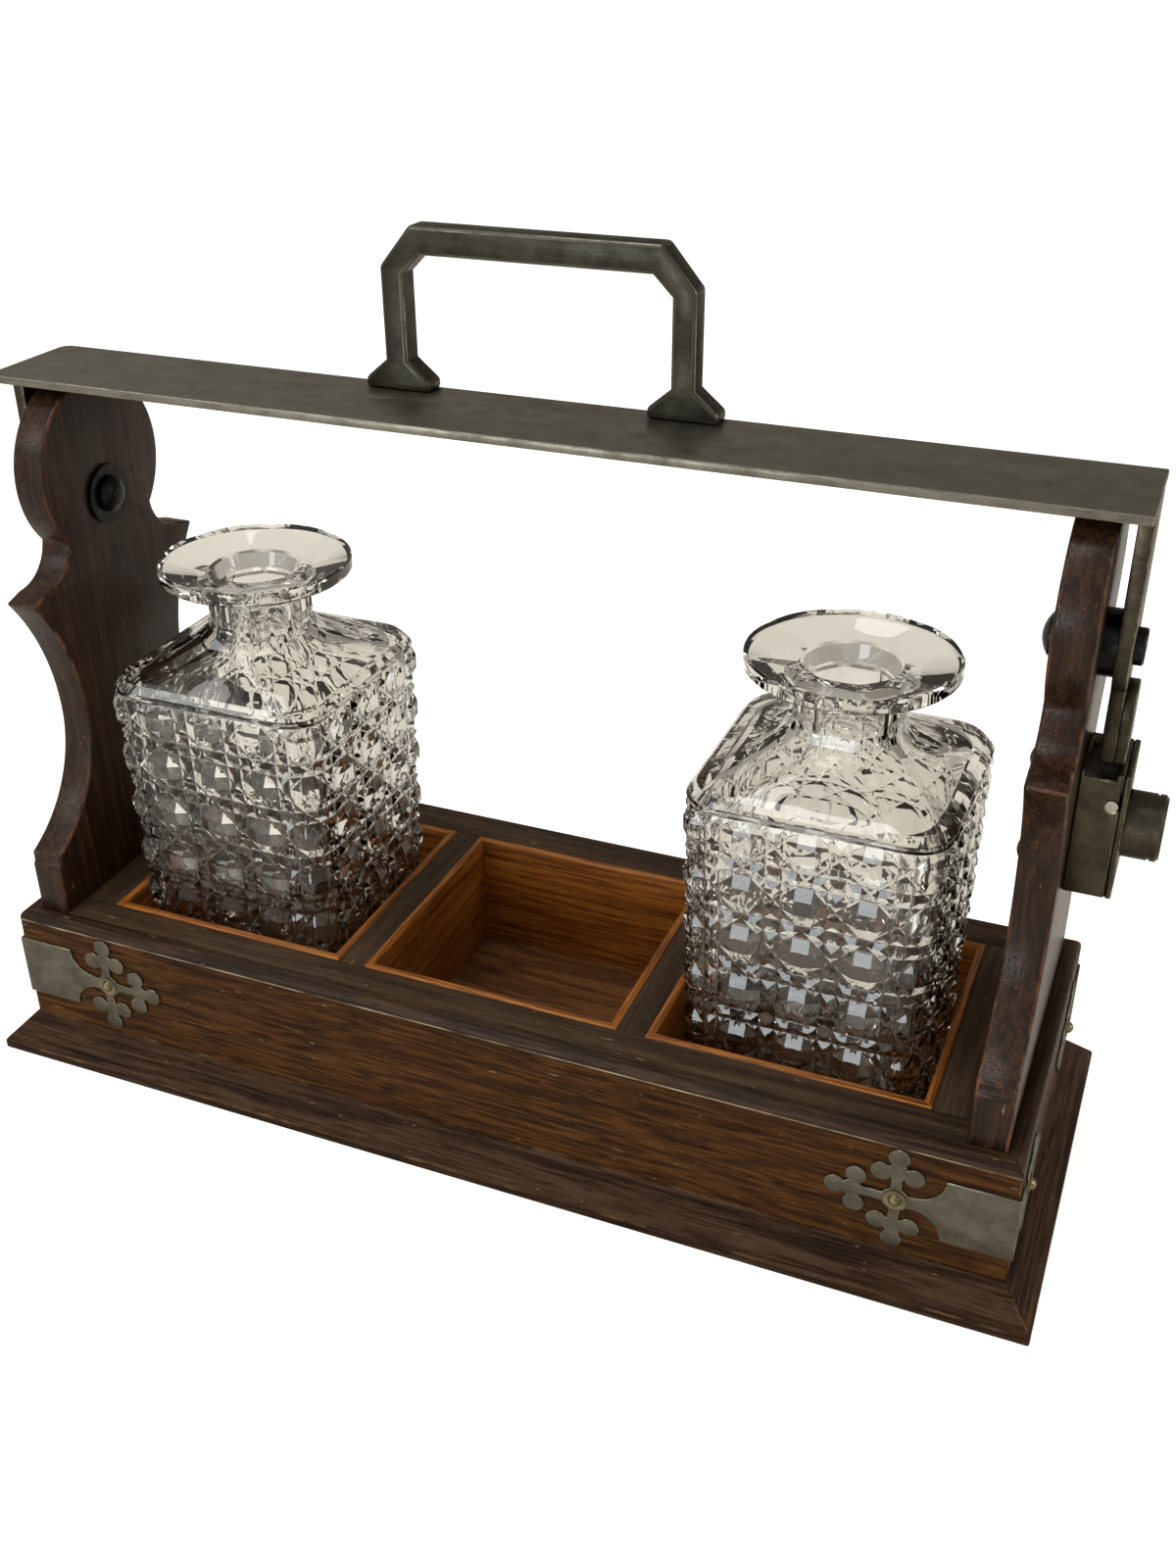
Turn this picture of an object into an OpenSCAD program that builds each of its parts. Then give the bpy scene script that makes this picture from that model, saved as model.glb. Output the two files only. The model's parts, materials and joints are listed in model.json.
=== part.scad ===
// Antique tantalus: a lined oak box on a bevelled plinth, two waisted uprights with
// a locking carrying bar that swings on them, and two square cut-glass decanters.
// Millimetres. The origin is under the middle of the box, +Z is up, the front faces -Y.

/* [Plinth] */
// How far the plinth stands out beyond the box on each side
plinth_margin = 10; // [6:0.5:16]
// Height of the plinth where the box stands on it
plinth_h = 13.6; // [10:0.2:20]
// Height of the plinth's upright edge below the bevel
plinth_edge_h = 3.3; // [2:0.1:6]
// Width of the four plinth mouldings
plinth_board_w = 17; // [15.9:0.1:30]

/* [Box] */
// Height of the box above the plinth
box_h = 44.4; // [42:0.2:60]
// Thickness of the box walls
wall_t = 5.8; // [4:0.1:7]
// Radius of the thumb moulding on the top edge of the walls
thumb_r = 3; // [1:0.1:4]
// Thickness of the deck strips
deck_t = 6; // [3:0.5:12]
// Width of the front and back deck rails
deck_rail_w = 10.9; // [8:0.1:16]
// Width of the deck's end strips
deck_end_w = 12.7; // [8:0.1:20]

/* [Compartments] */
// Gap beside a decanter, along the box
cell_gap_x = 1.4; // [1.1:0.1:4]
// Gap before and behind a decanter
cell_gap_y = 1; // [0.5:0.1:4]
// Thickness of the liner boards
liner_t = 2.8; // [1.8:0.1:3.2]
// How far the liners stand proud of the deck
liner_proud = 0.6; // [0.1:0.1:2]
// Rounding of the liners' top edges
liner_round = 0.9; // [0.3:0.1:0.9]
// Thickness of the dividers between the compartments
divider_t = 10; // [6:0.5:12]

/* [Uprights] */
// Thickness of the uprights
upright_t = 12; // [9:0.5:16]
// Height above the deck of the small step at the foot of the outline
foot_step_up = 18.5; // [8:0.5:20]
// Width of the small step at the foot of the outline
foot_step = 0.8; // [0.2:0.1:2]
// Half width of the outline at the waist
waist_half = 28.7; // [24:0.1:36]
// Height of the waist above the deck
waist_up = 66; // [55:1:72]
// Half width of the outline across the two ears
ear_half = 45.3; // [43:0.1:48]
// How far the ears lie below the pivot
ear_down = 25.6; // [24.5:0.1:32]
// Radius of the round head
head_r = 31; // [29:0.1:34]

/* [Carrying bar] */
// Height of the pivots above the deck
pivot_up = 140; // [130:1:160]
// Distance from the pivots to the underside of the bar
bar_reach = 41.5; // [40:0.1:50]
// Width of the bar
bar_w = 41; // [36:0.5:48]
// Thickness of the bar
bar_t = 2.8; // [2:0.1:4]
// How far the bar runs past the left arm
bar_overhang = 4.5; // [1:0.1:8]
// Corner radius of the bar's left end
bar_corner_r = 4; // [1:0.5:8]
// Width of the arms
arm_w = 28; // [24:0.5:34]
// Thickness of the arms
arm_t = 4.2; // [3:0.1:6]

/* [Pivots] */
// Radius of the pivot bolts
pivot_r = 3; // [2:0.1:4]
// Radius of the spacers between arms and uprights
spacer_r = 9.7; // [7:0.1:12]
// Thickness of the spacers
spacer_t = 4; // [3:0.1:6]
// Radius of the bolt heads
bolt_head_r = 5.4; // [4.8:0.1:8]
// Thickness of the bolt heads
bolt_head_t = 2.8; // [2:0.1:4]
// Radius of the washers inside the uprights
washer_r = 10.2; // [8:0.1:12]
// Thickness of the washers
washer_t = 1.2; // [0.8:0.1:2]
// Radius of the domed nuts
nut_r = 6.3; // [5:0.1:7.5]
// Thickness of the domed nuts
nut_t = 3.8; // [3:0.1:6]

/* [Handle] */
// Length of the handle over its two legs
handle_l = 102.8; // [90:0.2:130]
// Height of the handle above the bar
handle_h = 50.7; // [44:0.1:64]
// Thickness of the handle from front to back
handle_t = 8.7; // [6:0.1:12]
// Width of the legs
handle_leg = 7.6; // [6:0.1:10]
// Depth of the top rail
handle_rail = 8.7; // [6:0.1:12]
// Length of each foot
foot_l = 22.6; // [20:0.1:28]
// Height of the square edge of each foot
foot_edge = 3.1; // [2:0.1:4.5]
// Offset of the handle along the bar from the middle of the box
handle_x = -3.5; // [-8:0.5:8]
// Radius of the screws that hold the handle
handle_screw_r = 2; // [1.5:0.1:2.4]

/* [Lock] */
// Height of the lock case
case_h = 40.7; // [38:0.1:46]
// Width of the lock case from front to back
case_w = 25.4; // [24:0.2:30]
// Thickness of the lock case without its cover
case_t = 12.2; // [12:0.1:14]
// Thickness of the cover plate
cover_t = 1.9; // [1.5:0.1:3]
// Depth of the slot in the top of the lock case, under the arm's tail
notch_d = 2; // [1:0.1:2.6]
// Width of the arm's tail from front to back
tail_w = 19; // [15:0.5:20]
// Thickness of the block on the tail
hasp_t = 3; // [2.6:0.1:3.4]
// Radius of the push button
button_r = 10; // [9:0.1:10.4]
// How far the button stands out of the cover plate
button_out = 10.8; // [10.2:0.1:14]
// Travel of the button and of the bolt that it lifts
button_travel = 6.5; // [5.5:0.1:6.6]
// Radius of the key plug
plug_r = 5.5; // [4:0.1:6.5]

/* [Corner straps] */
// Width of the straps
strap_w = 23.8; // [20:0.2:26]
// Thickness of the straps
strap_t = 0.8; // [0.5:0.1:1.5]
// Length of the plain band on the long front and back legs
strap_long = 22; // [14:0.5:30]
// Length of the plain band on the short side legs
strap_short = 7.7; // [6:0.1:14]
// Radius of the trefoils' lobes
lobe_r = 3.3; // [2.8:0.1:3.6]

/* [Decanters] */
// Width of a decanter at its shoulder
dec_w = 84.6; // [80:0.2:85]
// How much narrower each face stands at the foot
dec_taper = 2.3; // [0.5:0.1:5]
// Radius of the upright corners
dec_corner_r = 14; // [10:0.5:18]
// Height of the shoulder above the foot
dec_shoulder_h = 131.5; // [122:0.1:136]
// Height of the foot of the neck
dec_neck_h = 146.4; // [142:0.2:152]
// Overall height
dec_h = 169.2; // [165:0.1:176]
// Radius of the eight-sided neck over its corners
neck_r = 18; // [16:0.1:21]
// Radius of the bore through the neck
neck_bore_r = 13; // [10:0.1:14]
// Radius of the lip
lip_r = 32.7; // [28:0.1:36]
// Thickness of the glass in the body
glass_t = 6; // [4:0.1:9]
// How far each decanter stands outwards from the middle of its compartment
dec_shift = 1; // [0:0.1:1]

/* [Clearances] */
// Running clearance of shafts, bolts and slides, on each side
run_gap = 0.05; // [0.03:0.01:0.08]
// Clearance between flat faces that turn past each other
face_gap = 0.1; // [0.05:0.05:0.4]
// Clearance of the arm's tail over the slot and of the bar over the heads
swing_gap = 0.3; // [0.2:0.05:0.5]

/* [Hidden] */
$fn = 64;

// Sides of a mitred frame, as quarter turns from the front
FRONT = 0;
RIGHT = 1;
BACK = 2;
LEFT = 3;

// The liners fit round the decanters, and the box fits round the liners and uprights
liner_l = dec_w + 2 * cell_gap_x + 2 * liner_t;
liner_w = dec_w + 2 * cell_gap_y + 2 * liner_t;
pitch = liner_l + divider_t;
box_l = 3 * liner_l + 2 * (divider_t + deck_end_w + upright_t + wall_t);
box_w = liner_w + 2 * (deck_rail_w + wall_t);

// Heights that everything above the box is measured from
deck_z = plinth_h + box_h;
pivot_z = deck_z + pivot_up;
bar_z = pivot_z + bar_reach;
bar_top = bar_z + bar_t;

// Faces of the box, the uprights and the arms, along X
inner_l = box_l - 2 * wall_t;
inner_w = box_w - 2 * wall_t;
upright_out = inner_l / 2;
upright_in = upright_out - upright_t;
arm_in = upright_out + spacer_t + face_gap;
arm_out = arm_in + arm_t;
bolt_head_in = arm_out + face_gap;
bar_left = -(arm_out + bar_overhang);

// How far a cutting shape runs past the face that it cuts, and joined shapes into each other
past = 1;

// Metal colours
DARK_NICKEL = "#55544a";
WORN_NICKEL = "#7d7b70";
BLACK_STEEL = "#1c1b1a";
BRASS = "#8f7a4a";
DARK_OAK = "#3d2a20";

// One board of a mitred frame of outer half lengths hx and hy. The board is t wide
// in plan, and the child is its section: X runs inwards from the outer face, Y up.
module frame_side(side, hx, hy, t, top)
{
    a = side % 2 == 0 ? hx : hy;
    b = side % 2 == 0 ? hy : hx;
    rotate([0, 0, 90 * side])
        intersection() {
            translate([0, -b, 0])
                rotate([90, 0, 90])
                    linear_extrude(2 * a, center = true)
                        children();
            linear_extrude(top)
                polygon([[-a, -b], [a, -b], [a - t, t - b], [t - a, t - b]]);
        }
}

// A cylinder along X whose section is the child, turned about the axis at height z
module along_x(x, z)
{
    translate([x, 0, z]) rotate([0, 90, 0]) children();
}

// Mirrors its child to the left for side = -1
module on_side(side)
{
    mirror([side < 0 ? 1 : 0, 0, 0]) children();
}

// Plinth

module plinth_board(side)
{
    color(DARK_OAK)
        frame_side(side, box_l / 2 + plinth_margin, box_w / 2 + plinth_margin,
                   plinth_board_w, plinth_h)
            polygon([[0, 0], [plinth_board_w, 0], [plinth_board_w, plinth_h],
                     [plinth_margin, plinth_h], [0, plinth_edge_h]]);
}

module floor_board()
{
    in_by = plinth_board_w - plinth_margin;
    color("#6b4423")
        translate([-box_l / 2 + in_by, -box_w / 2 + in_by, 0])
            cube([box_l - 2 * in_by, box_w - 2 * in_by, plinth_h]);
}

// Box

// Section of a wall: a board with its outer top edge rounded over
module wall_section()
{
    translate([0, plinth_h]) square([wall_t, box_h - thumb_r]);
    translate([thumb_r, plinth_h]) square([wall_t - thumb_r, box_h]);
    translate([thumb_r, deck_z - thumb_r]) circle(thumb_r);
}

// Places its child at the holes of the corner straps' pins, along each pin
module at_strap_pins()
{
    for (sx = [0, 1], sy = [0, 1])
        mirror([sx, 0, 0]) mirror([0, sy, 0]) {
            translate([strap_corner_x - cross_u(strap_long), -box_w / 2 - strap_t, strap_z])
                rotate([90, 0, 0]) children();
            translate([box_l / 2 + strap_t, cross_u(strap_short) - strap_corner_y, strap_z])
                rotate([0, 90, 0]) children();
        }
}

module wall(side)
{
    color("#7a4c2a")
        difference() {
            frame_side(side, box_l / 2, box_w / 2, wall_t, deck_z) wall_section();
            at_strap_pins()
                translate([0, 0, -strap_t - pin_bite]) cylinder(r = pin_r + run_gap, h = 2 * pin_bite);
        }
}

// The front and back deck rails run between the uprights, from wall to liner
module deck_rail(front)
{
    color(DARK_OAK)
        mirror([0, front ? 0 : 1, 0])
            translate([-upright_in, -inner_w / 2, deck_z - deck_t])
                cube([2 * upright_in, deck_rail_w, deck_t]);
}

// The end strips fill the deck between the outer liners and the uprights
module deck_end(side)
{
    color(DARK_OAK)
        on_side(side)
            translate([upright_in - deck_end_w, -liner_w / 2, deck_z - deck_t])
                cube([deck_end_w, liner_w, deck_t]);
}

module divider(side)
{
    color(DARK_OAK)
        on_side(side)
            translate([liner_l / 2, -liner_w / 2, plinth_h])
                cube([divider_t, liner_w, box_h]);
}

// Section of a liner board: both top edges rounded
module liner_section()
{
    h = box_h + liner_proud;
    translate([0, plinth_h]) square([liner_t, h - liner_round]);
    translate([liner_round, plinth_h]) square([liner_t - 2 * liner_round, h]);
    for (x = [liner_round, liner_t - liner_round])
        translate([x, plinth_h + h - liner_round]) circle(liner_round);
}

module liner_board(cell, side)
{
    color("#8a5526")
        translate([cell * pitch, 0, 0])
            frame_side(side, liner_l / 2, liner_w / 2, liner_t, deck_z + liner_proud)
                liner_section();
}

// Uprights

foot_half = inner_w / 2;
above_step = foot_half - foot_step;
foot_step_z = deck_z + foot_step_up;
waist_z = deck_z + waist_up;
ear_z = pivot_z - ear_down;
head_z = bar_z - swing_gap - head_r;
// The hollow between head and ear drops this much below the ear's tip to its outside
ear_drop = 2.1;
ear_slope = 0.29;
ear_run = 7.3;

// Radius of an arc that is upright at depth 0 and reaches depth d at height h
function arc_r(d, h) = (d * d + h * h) / (2 * d);

low_h = 43;
low_r = arc_r(above_step - waist_half, low_h);
high_r = arc_r(ear_half - waist_half, ear_z - waist_z);

// The hollow beside the head: its bottom lies at the inner end of the ear's flat top,
// and it meets the head's circle in a sharp inside corner
nape_down = 20.7;
nape_z = head_z - nape_down;
nape_y = sqrt(head_r * head_r - nape_down * nape_down);
hollow_y = ear_half - ear_run;
hollow_low = ear_z + ear_drop;
hollow_r = arc_r(nape_z - hollow_low, hollow_y - nape_y);
hollow_z = hollow_low + hollow_r;

// Half of the outline, for Y above zero: X here is the depth, Y the height
module upright_half()
{
    difference() {
        polygon([[0, plinth_h], [foot_half, plinth_h], [foot_half, foot_step_z],
                 [above_step, foot_step_z + foot_step],
                 [above_step, ear_z - ear_slope * (above_step - ear_half)],
                 [hollow_y, hollow_low], [hollow_y, nape_z + past], [0, nape_z + past]]);
        translate([waist_half + low_r, waist_z]) circle(low_r);
        intersection() {
            translate([waist_half + high_r, waist_z]) circle(high_r);
            translate([waist_half, waist_z]) square([high_r, high_r]);
        }
        translate([hollow_y, hollow_z]) circle(hollow_r);
    }
}

module upright_outline()
{
    upright_half();
    mirror([1, 0]) upright_half();
    translate([0, head_z]) circle(head_r);
}

module upright(side)
{
    color("#45291c")
        difference() {
            on_side(side)
                translate([upright_in, 0, 0])
                    rotate([90, 0, 90]) linear_extrude(upright_t) upright_outline();
            along_x(side * upright_in - 2 * upright_t, pivot_z)
                cylinder(r = pivot_r + run_gap, h = 4 * upright_t);
            if (side > 0)
                for (z = screw_heights)
                    along_x(upright_in - upright_t, z)
                        cylinder(r = lock_screw_r + run_gap, h = 3 * upright_t);
        }
}

// Pivots, drawn on the right and mirrored to the left

module on_both_sides()
{
    for (side = [-1, 1]) on_side(side) children();
}

// The domed nuts are closed, and the bolts end inside them
nut_skin = 1.3;
bolt_end = upright_in - washer_t - nut_t + nut_skin + face_gap;

module pivot_bolts()
{
    chamfer = 0.5;
    color(BLACK_STEEL)
        on_both_sides() {
            along_x(bolt_end, pivot_z) cylinder(r = pivot_r, h = bolt_head_in - bolt_end + past / 2);
            along_x(bolt_head_in, pivot_z) cylinder(r = bolt_head_r, h = bolt_head_t - chamfer);
            along_x(bolt_head_in + bolt_head_t - chamfer, pivot_z)
                cylinder(r1 = bolt_head_r, r2 = bolt_head_r - chamfer, h = chamfer);
        }
}

module pivot_ring(x, r, h)
{
    along_x(x, pivot_z)
        difference() {
            cylinder(r = r, h = h);
            translate([0, 0, -past]) cylinder(r = pivot_r + run_gap, h = h + 2 * past);
        }
}

module pivot_spacers()
{
    color(BLACK_STEEL) on_both_sides() pivot_ring(upright_out, spacer_r, spacer_t);
}

module pivot_washers()
{
    color(BLACK_STEEL) on_both_sides() pivot_ring(upright_in - washer_t, washer_r, washer_t);
}

// The nut's domed face looks inwards and has a fine ring groove round its middle
module pivot_nuts()
{
    dome = nut_t * 0.6;
    groove_r = 2.5;
    groove_w = 0.5;
    groove_low = 0.75;
    color(BLACK_STEEL)
        on_both_sides()
            along_x(upright_in - washer_t, pivot_z)
                mirror([0, 0, 1])
                    rotate_extrude()
                        difference() {
                            union() {
                                square([nut_r, nut_t - dome]);
                                intersection() {
                                    translate([0, nut_t - arc_r(dome, nut_r)])
                                        circle(arc_r(dome, nut_r));
                                    square([nut_r, nut_t]);
                                }
                            }
                            translate([-past, -past])
                                square([pivot_r + run_gap + past, nut_t - nut_skin + past]);
                            translate([groove_r, nut_t - groove_low]) square([groove_w, past]);
                        }
}

// Carrying bar

foot_y = bar_w / 2 - handle_t / 2;
screw_head_r = 1.8 * handle_screw_r;
screw_head_h = 1.5;
screw_bite = 5.5;

// Places its child on the axis of each handle screw, at the bar's underside
module at_handle_screws()
{
    for (side = [-1, 1])
        translate([handle_x + side * (handle_l / 2 - handle_leg / 2), foot_y, bar_z])
            children();
}

// The screw's own outline, grown by a gap for its hole
module handle_screw(gap)
{
    cylinder(r1 = screw_head_r + gap, r2 = handle_screw_r + gap, h = screw_head_h);
    cylinder(r = handle_screw_r + gap, h = bar_t + screw_bite);
}

module carrying_bar()
{
    color(DARK_NICKEL)
        difference() {
            translate([0, 0, bar_z])
                linear_extrude(bar_t) {
                    translate([bar_left + bar_corner_r, -bar_w / 2])
                        square([arm_out - bar_left - bar_corner_r, bar_w]);
                    translate([bar_left, bar_corner_r - bar_w / 2])
                        square([bar_corner_r + past, bar_w - 2 * bar_corner_r]);
                    for (side = [-1, 1])
                        translate([bar_left + bar_corner_r, side * (bar_w / 2 - bar_corner_r)])
                            circle(bar_corner_r);
                }
            at_handle_screws() handle_screw(run_gap);
        }
}

// Outline of an arm: a strip that ends in a round round the pivot
module arm_outline()
{
    translate([-arm_w / 2, pivot_z]) square([arm_w, bar_reach]);
    translate([0, pivot_z]) circle(arm_w / 2);
}

module arm_plate()
{
    translate([arm_in, 0, 0])
        rotate([90, 0, 90]) linear_extrude(arm_t) children();
}

module pivot_hole()
{
    along_x(arm_in - past, pivot_z) cylinder(r = pivot_r + run_gap, h = arm_t + 2 * past);
}

module left_arm()
{
    color(DARK_NICKEL)
        on_side(-1)
            difference() {
                arm_plate() arm_outline();
                pivot_hole();
            }
}

// Lock: heights and faces that its pieces and the arm's tail share
case_out = upright_out + case_t;
cover_out = case_out + cover_t;
button_end = cover_out + button_out;
case_below_ear = 8.8;
case_top = ear_z - case_below_ear;
case_bottom = case_top - case_h;
notch_z = case_top - notch_d;
button_up = 19.5;
button_z = case_bottom + button_up;
// The tail hangs over the slot, and its lower corners clear the top of the case
tail_floor_gap = 4;
tail_z = notch_z + tail_floor_gap;
notch_skin = 1.2;
notch_l = 8.6;
hasp_out = arm_out + hasp_t;
case_cut_out = case_out + past;

bolt_x = 3;
bolt_y = 6;
arm_skin = 1.8;
bolt_in = arm_in + arm_skin;
bolt_sunk = 0.4;
bolt_top = notch_z - bolt_sunk;
pocket_gap = 0.3;
pocket_spare = 0.8;
pocket_h = button_travel - (tail_z - bolt_top) + pocket_spare;

// The pocket in the tail that the lock's bolt rises into
module bolt_pocket()
{
    translate([bolt_in - pocket_gap, -bolt_y / 2 - pocket_gap, tail_z - past])
        cube([bolt_x + 2 * pocket_gap, bolt_y + 2 * pocket_gap, pocket_h + past]);
}

module right_arm()
{
    color(DARK_NICKEL)
        difference() {
            arm_plate() {
                arm_outline();
                translate([-tail_w / 2, tail_z]) square([tail_w, pivot_z - tail_z]);
            }
            pivot_hole();
            bolt_pocket();
        }
}

// Block on the outer face of the tail, with a round top
module hasp_block()
{
    color(DARK_NICKEL)
        difference() {
            translate([arm_out, 0, 0])
                rotate([90, 0, 90])
                    linear_extrude(hasp_t) {
                        translate([-tail_w / 2, tail_z]) square([tail_w, hasp_straight]);
                        translate([0, tail_z + hasp_straight]) circle(tail_w / 2);
                    }
            bolt_pocket();
        }
}

head_to_hasp = 5.1;
hasp_straight = pivot_z - bolt_head_r - head_to_hasp - tail_w / 2 - tail_z;

// Handle

leg_x = handle_l / 2;
rail_z = bar_top + handle_h;
corner_x = 10.7;
corner_z = 12.6;
inner_corner = 6.1;
foot_top = bar_top + foot_edge;
foot_slope = 6.2;

module handle_outline()
{
    in_x = leg_x - handle_leg;
    rail_under = rail_z - handle_rail;
    difference() {
        union() {
            polygon([[-leg_x, bar_top], [leg_x, bar_top], [leg_x, rail_z - corner_z],
                     [leg_x - corner_x, rail_z], [corner_x - leg_x, rail_z],
                     [-leg_x, rail_z - corner_z]]);
            for (side = [-1, 1])
                translate([side * (leg_x - handle_leg / 2), 0])
                    polygon([[-foot_l / 2, bar_top], [foot_l / 2, bar_top], [foot_l / 2, foot_top],
                             [handle_leg / 2, foot_top + foot_slope],
                             [-handle_leg / 2, foot_top + foot_slope], [-foot_l / 2, foot_top]]);
        }
        // The opening follows the feet, the legs and the chamfered corners
        foot_in = in_x + handle_leg / 2 - foot_l / 2;
        polygon([[-foot_in, bar_top - past], [foot_in, bar_top - past], [foot_in, foot_top],
                 [in_x, foot_top + foot_slope], [in_x, rail_under - inner_corner],
                 [in_x - inner_corner, rail_under], [inner_corner - in_x, rail_under],
                 [-in_x, rail_under - inner_corner], [-in_x, foot_top + foot_slope],
                 [-foot_in, foot_top]]);
    }
}

module handle()
{
    color(DARK_NICKEL)
        difference() {
            translate([handle_x, bar_w / 2, 0])
                rotate([90, 0, 0]) linear_extrude(handle_t) handle_outline();
            at_handle_screws() handle_screw(run_gap);
        }
}

module handle_screws()
{
    color(BRASS) at_handle_screws() handle_screw(0);
}

// Lock pieces

barrel_l = 16.5;
barrel_in = button_end - barrel_l;
ramp_up = 3.6;
ramp_z = button_z + ramp_up;
slot_gap = 0.1;
lock_screw_r = 2;
lock_screw_head_r = 4.9;
screw_to_edge = 5;
screw_heights = [button_z - button_r - screw_to_edge, case_top - screw_to_edge];
screw_bite_case = 4.3;
screw_end = upright_out + screw_bite_case;

module lock_case()
{
    color(DARK_NICKEL)
        difference() {
            translate([upright_out, -case_w / 2, case_bottom]) cube([case_t, case_w, case_h]);
            // The slot is open at the top and in front
            translate([upright_out + notch_skin, -case_w / 2 - past, notch_z])
                cube([notch_l, case_w / 2 + past + tail_w / 2 + swing_gap, notch_d + past]);
            // Bore for the button, with room for its travel
            along_x(barrel_in - button_travel - 0.4, button_z)
                cylinder(r = button_r + run_gap, h = case_t);
            // Guide for the sliding bolt, up to the slot's floor
            translate([bolt_in - slot_gap, -bolt_y / 2 - slot_gap, button_z])
                cube([bolt_x + 2 * slot_gap, bolt_y + 2 * slot_gap, notch_z - button_z + past]);
            for (z = screw_heights)
                along_x(upright_out - past, z)
                    cylinder(r = lock_screw_r + run_gap, h = past + screw_end - upright_out);
            translate([case_out - case_pin_in, -case_w / 2 - past, case_pin_z])
                rotate([-90, 0, 0]) cylinder(r = case_pin_r + run_gap, h = case_pin_l + past);
        }
}

case_pin_r = 1.8;
case_pin_l = 3.5;
case_pin_in = 2.3;
case_pin_up = 11.2;
case_pin_z = button_z + case_pin_up;

// Flush round pin in the front face of the case
module lock_case_pin()
{
    color("#a9a596")
        translate([case_out - case_pin_in, -case_w / 2 - 0.2, case_pin_z])
            rotate([-90, 0, 0]) cylinder(r = case_pin_r, h = case_pin_l + 0.2);
}

module lock_cover()
{
    color(DARK_NICKEL)
        difference() {
            translate([case_out, -case_w / 2, case_bottom]) cube([cover_t, case_w, case_h]);
            along_x(case_out - past, button_z) cylinder(r = button_r + run_gap, h = cover_t + 2 * past);
        }
}

// Push button: a barrel with a ring groove, a chamfered end, a blind bore for the
// plug and a sloping slot on top that lifts the bolt
module lock_button()
{
    chamfer = 1;
    groove_x = 2.6;
    groove_w = 0.6;
    groove_d = 0.4;
    length = button_end - barrel_in;
    color(DARK_NICKEL)
        difference() {
            along_x(barrel_in, button_z)
                rotate_extrude()
                    polygon([[0, 0], [button_r, 0], [button_r, length - groove_x - groove_w],
                             [button_r - groove_d, length - groove_x - groove_w],
                             [button_r - groove_d, length - groove_x],
                             [button_r, length - groove_x], [button_r, length - chamfer],
                             [button_r - chamfer, length], [0, length]]);
            along_x(plug_in, button_z) cylinder(r = plug_r + run_gap, h = plug_l + past);
            // The slope rises outwards at 45 degrees from the barrel's inner end
            translate([barrel_in, bolt_y / 2 + pocket_gap, ramp_z])
                rotate([90, 0, 0])
                    linear_extrude(bolt_y + 2 * pocket_gap)
                        polygon([[-1, -1], [button_r, button_r], [-1, button_r]]);
        }
}

plug_l = 6;
plug_in = button_end - plug_l;

module lock_plug()
{
    slot_w = 1.3;
    slot_h = 7;
    slot_d = 4;
    color(BRASS)
        difference() {
            along_x(plug_in, button_z) cylinder(r = plug_r, h = plug_l - 0.4);
            translate([button_end - slot_d, -slot_w / 2, button_z - slot_h / 2])
                cube([slot_d + 1, slot_w, slot_h]);
        }
}

// Sliding bolt, with a foot cut to the button's slope
module lock_bolt()
{
    foot_gap = 0.3;
    foot_z = ramp_z + bolt_in - barrel_in + foot_gap;
    color(BRASS)
        translate([bolt_in, bolt_y / 2, 0])
            rotate([90, 0, 0])
                linear_extrude(bolt_y)
                    polygon([[0, foot_z], [bolt_x, foot_z + bolt_x], [bolt_x, bolt_top], [0, bolt_top]]);
}

// Dome-headed screws through the upright into the lock case
module lock_screws()
{
    dome = 3.4;
    color(DARK_NICKEL)
        for (z = screw_heights) {
            along_x(upright_in, z) cylinder(r = lock_screw_r, h = screw_end - upright_in - 0.3);
            along_x(upright_in, z)
                mirror([0, 0, 1])
                    rotate_extrude()
                        intersection() {
                            translate([0, dome - arc_r(dome, lock_screw_head_r)])
                                circle(arc_r(dome, lock_screw_head_r));
                            square([lock_screw_head_r, dome]);
                        }
        }
}

// Corner straps

strap_up = 21.2;
strap_z = plinth_h + strap_up;
strap_corner_x = box_l / 2 + strap_t;
strap_corner_y = box_w / 2 + strap_t;
neck_half = 2.5;
cut_in_r = strap_w / 2 - neck_half;
neck_l = 5.2;
lobe_out = 16.1;
lobe_mid = 9.8;
lobe_side = 5;
end_shift = 2.7;
end_side = 5.6;
stem_half = 1.7;
centre_r = 4.4;
fillet_c = 5.6;
fillet_r = 4;
pin_r = 0.9;
pin_bite = 3.2;

// Distance from the corner to the middle of the cross, for a band of that length
function cross_u(band) = band + cut_in_r + neck_l;

// One leg lying flat: X runs away from the corner, Y up, middle at Y 0
module strap_leg(band)
{
    translate([0, -strap_w / 2]) square([band, strap_w]);
    // The band draws in to the neck along two quarter circles
    difference() {
        translate([band - 0.01, -strap_w / 2]) square([cut_in_r + 0.01, strap_w]);
        for (side = [-1, 1])
            translate([band + cut_in_r, side * strap_w / 2]) circle(cut_in_r);
    }
    translate([band + cut_in_r - 0.01, -neck_half]) square([neck_l, 2 * neck_half]);
    translate([cross_u(band), 0]) {
        circle(centre_r);
        // The cross is hollowed between its arms
        difference() {
            square(2 * fillet_c, center = true);
            for (x = [-1, 1], y = [-1, 1])
                translate([x * fillet_c, y * fillet_c]) circle(fillet_r);
        }
        for (turn = [-90, 90])
            rotate(turn) trefoil(0, lobe_side);
        trefoil(end_shift, end_side);
    }
}

// Three lobes on a stem, set out further by the shift, with the outer two that far apart
module trefoil(shift, spread)
{
    translate([0, -stem_half]) square([lobe_out + shift, 2 * stem_half]);
    translate([lobe_mid + shift + 0.9, 0]) circle(lobe_r);
    translate([lobe_out + shift, 0]) circle(lobe_r);
    for (side = [-1, 1])
        translate([lobe_mid + shift, side * spread]) circle(lobe_r);
}

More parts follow.
